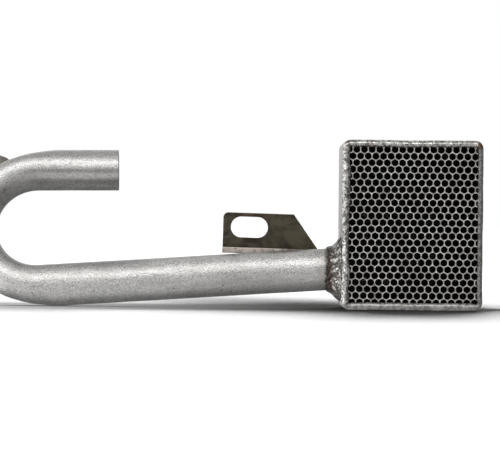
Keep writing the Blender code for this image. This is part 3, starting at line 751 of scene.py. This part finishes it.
def build_plate(name, outlines, thickness, matrix, material, slot_name, node):
    """A flat plate with rounded edges from closed outlines: its edge first, then its holes."""
    curve = bpy.data.curves.new(name, "CURVE")
    curve.dimensions = "2D"
    curve.fill_mode = "BOTH"
    curve.extrude = thickness / 2 - PLATE_EDGE
    curve.bevel_depth = PLATE_EDGE
    curve.bevel_resolution = 2
    curve.offset = -PLATE_EDGE
    for outline in outlines:
        spline = curve.splines.new("POLY")
        spline.points.add(len(outline) - 1)
        for target, (x, y) in zip(spline.points, outline):
            target.co = (x, y, 0.0, 1.0)
        spline.use_cyclic_u = True
    stand_in = add_object(name, curve)
    bpy.context.view_layer.update()
    evaluated = stand_in.evaluated_get(bpy.context.evaluated_depsgraph_get())
    mesh = bpy.data.meshes.new_from_object(evaluated)
    bpy.data.objects.remove(stand_in)
    mesh.transform(matrix)
    shape = bmesh.new()
    shape.from_mesh(mesh)
    bmesh.ops.remove_doubles(shape, verts=shape.verts, dist=MERGE_DISTANCE)
    bmesh.ops.recalc_face_normals(shape, faces=shape.faces)
    shape.to_mesh(mesh)
    shape.free()
    mesh.shade_smooth()
    mesh.name = name
    piece = place_piece(name, mesh, material, slot_name, node)
    weighted = piece.modifiers.new("flat_faces", "WEIGHTED_NORMAL")
    weighted.keep_sharp = True


def upright(x, y, z, tilt=0.0):
    """Turns a plate from the XY plane to face -Y, and leans it by tilt, clockwise as seen from the front."""
    turn = Matrix.Rotation(tilt, 4, "Y") @ Matrix.Rotation(math.pi / 2, 4, "X")
    return Matrix.Translation((x, y, z)) @ turn


def build_back_plate(material):
    """Closes the sleeve behind, inside the rear seam."""
    low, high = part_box("box_back_plate")
    middle = (low + high) / 2
    path = rounded_path((high.x - low.x) / 2, (high.z - low.z) / 2, SHEET_CORNER - 1.1 * MM, 20.0 * MM)
    outline = [tuple(point) for point, _ in path]
    place = upright(*middle)
    build_plate("box_back", [outline], high.y - low.y, place, material, "box_steel", "box_back_plate")


def arc(centre, radius, start, end):
    """Points of an arc from the start angle to the end angle."""
    points = []
    for index in range(2 * CORNER_STEPS + 1):
        angle = start + (end - start) * index / (2 * CORNER_STEPS)
        points.append((centre[0] + radius * math.cos(angle), centre[1] + radius * math.sin(angle)))
    return points


def build_bracket(material):
    """The slotted plate, and the leg that reaches forward from its foot to the tube."""
    low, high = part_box("slotted_bracket")
    radius = BRACKET_CORNER_RADIUS
    edge = [(0.0, 0.0), (BRACKET_LENGTH, 0.0), (BRACKET_LENGTH, BRACKET_THICKNESS)]
    edge.append((BRACKET_TOP_LENGTH, BRACKET_HEIGHT))
    edge += arc((radius, BRACKET_HEIGHT - radius), radius, math.pi / 2, math.pi)
    half_straight = (SLOT_LENGTH - SLOT_WIDTH) / 2
    centre_x, centre_z = SLOT_CENTRE
    slot = arc((centre_x + half_straight, centre_z), SLOT_WIDTH / 2, -math.pi / 2, math.pi / 2)
    slot += arc((centre_x - half_straight, centre_z), SLOT_WIDTH / 2, math.pi / 2, 1.5 * math.pi)
    lowest = BRACKET_LENGTH * math.sin(BRACKET_TILT)
    place = upright(low.x, high.y - BRACKET_THICKNESS / 2, low.z + lowest, BRACKET_TILT)
    build_plate("bracket_plate", [edge, slot[::-1]], BRACKET_THICKNESS, place, material, "bracket_steel",
                "slotted_bracket")

    leg_depth = high.y - low.y - BRACKET_THICKNESS + PLATE_EDGE
    leg_edge = edge[:3] + [(0.0, BRACKET_THICKNESS)]
    place = upright(low.x, low.y + leg_depth / 2, low.z + lowest, BRACKET_TILT)
    build_plate("bracket_leg", [leg_edge], leg_depth, place, material, "bracket_steel", "slotted_bracket")


def build_tab(material):
    """The tab welded behind the bend."""
    low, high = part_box("rear_tab")
    path = rounded_path(TAB_WIDTH / 2, TAB_HEIGHT / 2, TAB_CORNER_RADIUS, 20.0 * MM)
    outline = [tuple(point) for point, _ in path]
    middle = (low + high) / 2
    build_plate("rear_tab_plate", [outline], high.y - low.y, upright(*middle, TAB_TILT), material,
                "bracket_steel", "rear_tab")


# Honeycomb

def line_crossing(first, first_way, second, second_way):
    """Where two lines in a plane meet."""
    cross = first_way.x * second_way.y - first_way.y * second_way.x
    gap = second - first
    return first + first_way * ((gap.x * second_way.y - gap.y * second_way.x) / cross)


def rounded(start, control, end):
    """Points of the curve from start to end that is tangent to both lines through control."""
    points = []
    for index in range(FILLET_STEPS + 1):
        t = index / FILLET_STEPS
        points.append(start * (1 - t) ** 2 + control * 2 * t * (1 - t) + end * t * t)
    return points


def strip_sides(first_side, wall):
    """Left and right outlines of one strip, with braze filling every corner of the cells.

    Its upright walls are half as thick as its slanting ones, because each lies against the next strip's.
    """
    wall_length = CELL_PITCH / math.sqrt(3.0)
    row_pitch = 1.5 * wall_length
    half_height = (CELL_ROWS - 1) * row_pitch / 2
    points = [Vector((0.0, -half_height - 0.75 * wall_length))]
    sides = [0.0]
    for row in range(CELL_ROWS):
        side = first_side if row % 2 == 0 else -first_side
        middle = row * row_pitch - half_height
        points.append(Vector((side * CELL_PITCH / 4, middle - wall_length / 2)))
        points.append(Vector((side * CELL_PITCH / 4, middle + wall_length / 2)))
        sides += [side, 0.0]
    points.append(Vector((0.0, half_height + 0.75 * wall_length)))
    to_seam = FILLET_LENGTH / (1.0 + math.cos(math.pi / 6))

    outlines = []
    for hand in (-1.0, 1.0):
        lines = []
        for start, end, side in zip(points, points[1:], sides):
            way = (end - start).normalized()
            normal = Vector((way.y, -way.x)) * hand
            at_seam = side * hand > 0.0
            reach = -SEAM / 2 if at_seam else wall / 2
            lines.append((start + normal * reach, way, at_seam))
        level = Vector((1.0, 0.0))
        outline = [line_crossing(lines[0][0], lines[0][1], points[0], level)]
        for (here, way, at_seam), (there, next_way, next_at_seam) in zip(lines, lines[1:]):
            corner = line_crossing(here, way, there, next_way)
            start = corner - way * FILLET_LENGTH
            control = corner
            end = corner + next_way * FILLET_LENGTH
            if at_seam:
                control = corner + next_way * to_seam
                start = corner + way * to_seam / 2
            if next_at_seam:
                control = corner - way * to_seam
                end = corner - next_way * to_seam / 2
            outline += rounded(start, control, end)
        outline.append(line_crossing(lines[-1][0], lines[-1][1], points[-1], level))
        outlines.append(outline)
    return outlines


def build_honeycomb(material):
    """34 strips, every second one turned over. Each is a ribbon that thins toward its front edge."""
    centre_x = BOX_CENTRE.x + HONEYCOMB_OFFSET_X
    centre_z = BOX_CENTRE.z + HONEYCOMB_OFFSET_Z
    front, rear = STRIP_LOW.y, STRIP_HIGH.y
    levels = ((WALL_FRONT, front), (WALL, front + EDGE_ROUNDING), (WALL, rear))
    for number in range(STRIP_COUNT):
        middle = centre_x + (number - (STRIP_COUNT - 1) / 2) * CELL_PITCH / 2
        first_side = -1.0 if number % 2 == 0 else 1.0
        shape = bmesh.new()
        rows = []
        for wall, y in levels:
            left, right = strip_sides(first_side, wall)
            row = []
            for flat in left + right[::-1]:
                point = Vector((middle + flat.x, y, centre_z + flat.y))
                spot = Vector((point.x, 0.0, point.z))
                point.x += CELL_WANDER * lumps(spot, WANDER_SIZE, 2.0)
                point.z += CELL_WANDER * lumps(spot, WANDER_SIZE, 7.0)
                row.append(shape.verts.new(point))
            rows.append(row)
        join_rows(shape, rows)
        count = len(rows[0])
        for row in (rows[0], rows[-1]):
            for index in range(count // 2 - 1):
                shape.faces.new((row[index], row[index + 1], row[count - 2 - index], row[count - 1 - index]))
        bmesh.ops.recalc_face_normals(shape, faces=shape.faces)
        name = f"foil_strip_{number + 1:02d}"
        mesh = to_mesh(shape, name)
        mesh.shade_smooth()
        mesh.set_sharp_from_angle(angle=math.radians(40.0))
        place_piece(name, mesh, material, "honeycomb_foil", f"honeycomb_strip_{number + 1:02d}")


def cover_sheet(plate, material):
    """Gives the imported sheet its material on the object, and leaves its mesh as it is."""
    for slot in plate.material_slots:
        slot.link = "OBJECT"
        slot.material = material


# Weld beads

def swelling(spot, layers):
    """Sum of lumps, each given by its depth, its size and its seed."""
    return sum(depth * lumps(spot, size, seed) for depth, size, seed in layers)


def closed_curve(points, count):
    """Evenly timed points on a smooth closed curve through the given ones."""
    smooth = []
    total = len(points)
    for step in range(count):
        position = step * total / count
        index = int(position)
        t = position - index
        a, b, c, d = (Vector(points[(index + k) % total]) for k in (-1, 0, 1, 2))
        smooth.append(0.5 * ((2 * b) + (c - a) * t + (2 * a - 5 * b + 4 * c - d) * t * t
                             + (3 * b - a - 3 * c + d) * t * t * t))
    return smooth


def rim_section(width):
    """The bead across: inward from its outer edge, and forward from its middle plane."""
    return closed_curve([
        (0.50 * MM, -1.9 * MM), (0.10 * MM, -1.2 * MM), (0.25 * MM, -0.55 * MM), (0.95 * MM, -0.05 * MM),
        (1.60 * MM, 0.40 * MM), (2.25 * MM, 0.68 * MM), (0.66 * width, 0.45 * MM),
        (0.86 * width, -0.5 * MM), (width, -1.75 * MM), (0.85 * width, -2.6 * MM), (0.5 * width, -2.8 * MM),
    ], RIM_SECTION_POINTS)


def build_rim_weld(material):
    """A lumpy bead over the sleeve's front edge, which runs down to the honeycomb's edge cells."""
    half_width = (RIM_HIGH.x - RIM_LOW.x) / 2
    half_height = (RIM_HIGH.z - RIM_LOW.z) / 2
    centre = (RIM_LOW + RIM_HIGH) / 2
    path = rounded_path(half_width, half_height, RIM_CORNER, BEAD_STEP)
    rings = []
    distance = 0.0
    before = path[-1][0]
    for point, normal in path:
        distance += (point - before).length
        before = point
        width = RIM_LEFT * max(-normal.x, 0.0) ** 2 + RIM_RIGHT * max(normal.x, 0.0) ** 2
        width += RIM_TOP * max(normal.y, 0.0) ** 2 + RIM_BOTTOM * max(-normal.y, 0.0) ** 2
        roughening = 0.28 + 0.72 * max(-normal.x, 0.0) ** 2 + 0.12 * max(-normal.y, 0.0) ** 2
        here = Vector((centre.x + point.x, centre.y, centre.z + point.y))
        width *= 1.0 + 0.16 * roughening * lumps(here, 5.0 * MM, 1.0)
        wander = RIM_WANDER * (1.0 + lumps(here, RIM_WANDER_SIZE, 11.0)) / 2
        ripple = RIM_RIPPLE * roughening * math.sin(FULL_TURN * distance / RIM_RIPPLE_PITCH)
        ring = []
        for inward, forward in rim_section(width):
            spot = Vector((here.x, forward, here.z)) + Vector((normal.x, 0.0, normal.y)) * -inward
            swell = swelling(spot, RIM_LUMPS) * roughening + ripple
            inward = max(inward - swell * 0.45, 0.0)
            forward = min(forward + swell, centre.y - RIM_LOW.y)
            flat = point - normal * (inward + wander)
            ring.append(Vector((centre.x + flat.x, centre.y - forward, centre.z + flat.y)))
        rings.append(ring)
    mesh = mesh_from_rings("rim_bead", rings, close_rows=True)
    place_piece("rim_bead", mesh, material, "weld_metal", "rim_weld")


def build_tube_weld(material):
    """A heavy fillet between the tube and the box's left wall, hollow above the tube and full below it."""
    wall_x = TUBE_WELD_HIGH.x + WALL_ROOT
    reach = TUBE_WELD_HIGH.x - TUBE_WELD_LOW.x
    outer = (TUBE_WELD_HIGH.z - TUBE_WELD_LOW.z) / 2
    inner = TUBE_RADIUS - TUBE_ROOT
    middle_z = (TUBE_WELD_HIGH.z + TUBE_WELD_LOW.z) / 2
    middle_y = (TUBE_WELD_HIGH.y + TUBE_WELD_LOW.y) / 2
    rings = []
    for side in range(TUBE_WELD_SIDES):
        angle = FULL_TURN * side / TUBE_WELD_SIDES
        ray = Vector((0.0, math.cos(angle), math.sin(angle)))
        hollow = 1.3 * MM * max(ray.z, 0.0) - 0.5 * MM * max(-ray.z, 0.0)
        here = Vector((wall_x, middle_y, middle_z)) + ray * outer
        length = reach * (0.93 + 0.10 * lumps(here, 9.0 * MM, 2.0))
        top = outer - 0.5 * MM + 0.45 * MM * lumps(here, 7.0 * MM, 9.0)
        profile = closed_curve([
            (inner, 0.0), (inner, 0.5 * length), (inner + 0.2 * MM, length - 0.1 * MM),
            (inner + 0.95 * MM, length + 0.1 * MM), (inner + 1.75 * MM, 0.90 * length),
            (inner + 2.6 * MM - 0.4 * hollow, 0.70 * length), (inner + 3.9 * MM - hollow, 0.48 * length),
            (inner + 5.4 * MM - hollow, 0.27 * length), (top - 0.3 * MM, 0.09 * length), (top, 0.0),
        ], TUBE_WELD_POINTS)
        ring = []
        for radius, back in profile:
            axis_point = Vector((wall_x - back, middle_y, middle_z))
            spot = axis_point + ray * radius
            skew = FULL_TURN * (radius * angle / (3.6 * MM) + back / (7.0 * MM))
            swell = swelling(spot, TUBE_WELD_LUMPS) + TUBE_WELD_RIPPLE * math.sin(skew)
            swell *= smoothstep((radius - inner) / (0.8 * MM)) * smoothstep((back + 0.6 * MM) / (1.5 * MM))
            point = axis_point + TUBE_SLOPE * back + ray * (radius + 0.6 * swell)
            point.x -= 0.8 * swell
            point.x = min(max(point.x, TUBE_WELD_LOW.x - TUBE_WELD_OVERRUN), wall_x)
            ring.append(point)
        rings.append(ring)
    mesh = mesh_from_rings("tube_fillet", rings, close_rows=True)
    place_piece("tube_fillet", mesh, material, "weld_metal", "tube_weld")


def round_bead(name, path, radius, closed, material, node):
    """A hand-laid bead along points: uneven, rippled, and drawn to blunt ends where it is open."""
    rings = []
    count = len(path)
    distance = 0.0
    for index, point in enumerate(path):
        before = path[index - 1] if closed or index else point
        after = path[(index + 1) % count] if closed or index < count - 1 else point
        tangent = (after - before).normalized()
        distance += (point - before).length if index else 0.0
        side = tangent.cross(Vector((0.0, -1.0, 0.0))).normalized()
        rise = side.cross(tangent)
        taper = 1.0
        if not closed:
            from_end = min(index, count - 1 - index) + 0.4
            taper = math.sqrt(min(1.0, from_end / (radius / BEAD_STEP)))
        ripple = BEAD_RIPPLE * math.sin(FULL_TURN * distance / BEAD_RIPPLE_PITCH)
        swell = (BEAD_FULLNESS + BEAD_SWELL * lumps(point, BEAD_SWELL_SIZE, 1.0) + ripple) * taper
        ring = []
        for step in range(BEAD_SIDES):
            angle = FULL_TURN * step / BEAD_SIDES
            ray = side * math.cos(angle) + rise * math.sin(angle)
            grit = 1.0 + BEAD_GRIT * lumps(point + ray * radius, BEAD_GRIT_SIZE, 3.0)
            ring.append(point + ray * radius * swell * grit)
        rings.append(ring)
    mesh = mesh_from_rings(name, rings, close_rows=closed)
    place_piece(name, mesh, material, "weld_metal", node)


def straight_path(start, end):
    """Points from start to end, a bead's step apart."""
    steps = max(2, round((end - start).length / BEAD_STEP))
    return [start.lerp(end, index / steps) for index in range(steps + 1)]


def build_rear_seam(material):
    """Closes the corner between the sleeve's rear edge and the back plate, all the way round."""
    low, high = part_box("rear_seam_weld")
    radius = (high.y - low.y) / 2
    middle = (low + high) / 2
    half_width = (high.x - low.x) / 2 - radius
    half_height = (high.z - low.z) / 2 - radius
    path = rounded_path(half_width, half_height, SHEET_CORNER, BEAD_STEP)
    points = [Vector((middle.x + p.x, middle.y, middle.z + p.y)) for p, _ in path]
    round_bead("rear_seam_bead", points, radius, True, material, "rear_seam_weld")


def build_bracket_weld(material):
    """Runs along the rear of the tube in the corner under the bracket's leg, and flows into both."""
    low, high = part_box("bracket_weld")
    inset = BRACKET_WELD_INSET
    start = Vector((low.x, high.y - inset, high.z - inset))
    end = Vector((high.x, low.y + inset + BRACKET_WELD_SHIFT, low.z + inset))
    path = straight_path(start, end)
    round_bead("bracket_bead", path, BRACKET_BEAD_RADIUS, False, material, "bracket_weld")


def build_tab_weld(material, stations):
    """Follows the rear of the bend and fills the wedge between the tube and the tab."""
    first_bend_station = round(RUN_LENGTH / TUBE_STEP)
    reach = TUBE_RADIUS + TAB_WELD_RADIUS - TAB_WELD_ROOT
    points = []
    for index in range(BEND_STEPS + 1):
        turn = math.pi * index / BEND_STEPS
        if TAB_WELD_TURN[0] <= turn <= TAB_WELD_TURN[1]:
            centre, tangent, outward, _ = stations[first_bend_station + index]
            rearward = outward.cross(tangent)
            if rearward.y < 0.0:
                rearward.negate()
            lean = rearward * math.cos(TAB_WELD_LEAN) + outward * math.sin(TAB_WELD_LEAN)
            points.append(centre + lean * reach)
    path = []
    for here, there in zip(points, points[1:]):
        path += straight_path(here, there)[:-1]
    round_bead("tab_bead", path, TAB_WELD_RADIUS, False, material, "rear_tab_weld")


# Stage, light and camera

def floor_white_with_painted_shadow():
    """Matt white with a painted contact shadow, greying where the object closes it in, most of all round the
    box.
    """
    nodes = new_material("studio_floor")
    openness = nodes.add("ShaderNodeAmbientOcclusion", {"Distance": CONTACT_REACH}, samples=8)
    # Painted contact shadow: the floor darkens where ambient occlusion finds the object close, and less
    # towards the bend.
    closed = nodes.span(openness.outputs["AO"], CONTACT_DARKEST, CONTACT_END, 1.0, 0.0)
    strength = nodes.span(nodes.axis("X"), CAD_BOX[0].x, TUBE_START.x, CONTACT_AT_BEND, 1.0)
    closed = nodes.times(closed, strength)
    floor = nodes.finish(nodes.mix(closed, (0.93, 0.93, 0.93), (0.03, 0.03, 0.028)), 0.9, 0.0)
    nodes.tree.nodes["Principled BSDF"].inputs["Specular IOR Level"].default_value = 0.1
    return floor


def build_floor():
    """A pale floor, plain but for its painted contact shadow, left out of what the metal mirrors."""
    shape = bmesh.new()
    bmesh.ops.create_grid(shape, x_segments=FLOOR_STEPS, y_segments=FLOOR_STEPS, size=FLOOR_REACH)
    mesh = to_mesh(shape, "studio_floor")
    mesh.materials.append(floor_white_with_painted_shadow())
    floor = add_object("studio_floor", mesh)
    floor.location.z = CAD_BOX[0].z - FLOOR_DROP
    floor.visible_glossy = False
    return floor


def build_world():
    """White to the camera. The metal mirrors a bright left side, a pale front and top, and a dim right."""
    world = bpy.data.worlds.new("studio")
    bpy.context.scene.world = world
    nodes = Nodes(world, "Generated")
    camera_ray = nodes.add("ShaderNodeLightPath").outputs["Is Camera Ray"]
    below = nodes.span(nodes.axis("Y"), -0.8, 0.6, BELOW_FRONT, BELOW_REAR)
    mirrored = nodes.span(nodes.axis("Z"), -0.35, 0.10, below, ABOVE)
    sideways = nodes.span(nodes.axis("X"), 0.25, 0.85, mirrored, RIGHT)
    sideways = nodes.span(nodes.axis("X"), -0.85, -0.45, LEFT, sideways)
    background = nodes.tree.nodes["Background"].inputs
    nodes.put(background["Strength"], nodes.span(camera_ray, 0.0, 1.0, sideways, 1.0))
    nodes.put(background["Color"], (1.0, 1.0, 1.0, 1.0))
    world.cycles_visibility.diffuse = False


def add_light(name, kind, azimuth, elevation, energy, lit):
    """A light on that side that looks at the middle of the object and falls only on what it should light."""
    data = bpy.data.lights.new(name, kind)
    data.energy = energy
    light = add_object(name, data)
    level = math.cos(elevation)
    back = Vector((math.sin(azimuth) * level, -math.cos(azimuth) * level, math.sin(elevation)))
    light.location = (CAD_BOX[0] + CAD_BOX[1]) / 2 + back * LIGHT_DISTANCE
    light.rotation_euler = (-back).to_track_quat("-Z", "Y").to_euler()
    light.light_linking.receiver_collection = lit
    return data


def lit_collection(name, members):
    """The objects that one set of lights falls on."""
    collection = bpy.data.collections.new(name)
    for member in members:
        collection.objects.link(member)
    return collection


def build_camera():
    """Square to the honeycomb, and just below the middle of the box."""
    data = bpy.data.cameras.new("camera")
    data.sensor_width = CAMERA_SENSOR
    data.lens = CAMERA_LENS
    camera = add_object("camera", data)
    camera.location = (CAMERA_X, CAD_BOX[0].y - CAMERA_DISTANCE, CAMERA_Z)
    camera.rotation_euler = (math.pi / 2, CAMERA_ROLL, 0.0)
    bpy.context.scene.camera = camera


def main():
    bpy.context.scene.view_settings.view_transform = "Standard"

    steel = tube_steel()
    weld = weld_metal()
    sheet = box_steel()
    foil = honeycomb_foil()
    dark = oxide_steel("bracket_steel", *BRACKET_OXIDE)
    grey = oxide_steel("tab_steel", *TAB_OXIDE)

    stations = tube_stations()
    build_mixing_tube(steel, stations)
    build_box_shell(sheet)
    build_back_plate(sheet)
    build_honeycomb(foil)
    cover_sheet(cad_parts["distribution_plate"], dark_sheet())
    build_rim_weld(weld)
    build_rear_seam(weld)
    build_tube_weld(weld)
    build_bracket(dark)
    build_bracket_weld(weld)
    build_tab(grey)
    build_tab_weld(weld, stations)

    object_light = lit_collection("lit_object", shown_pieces())
    floor_light = lit_collection("lit_floor", [build_floor()])
    build_world()
    key = add_light("key", "AREA", KEY_AZIMUTH, KEY_ELEVATION, KEY_POWER, object_light)
    key.shape = "RECTANGLE"
    key.size, key.size_y = KEY_SIZE
    for name, azimuth, elevation, strength, spread in FLOOR_SUNS:
        add_light(name, "SUN", azimuth, elevation, strength, floor_light).angle = spread
    build_camera()


main()
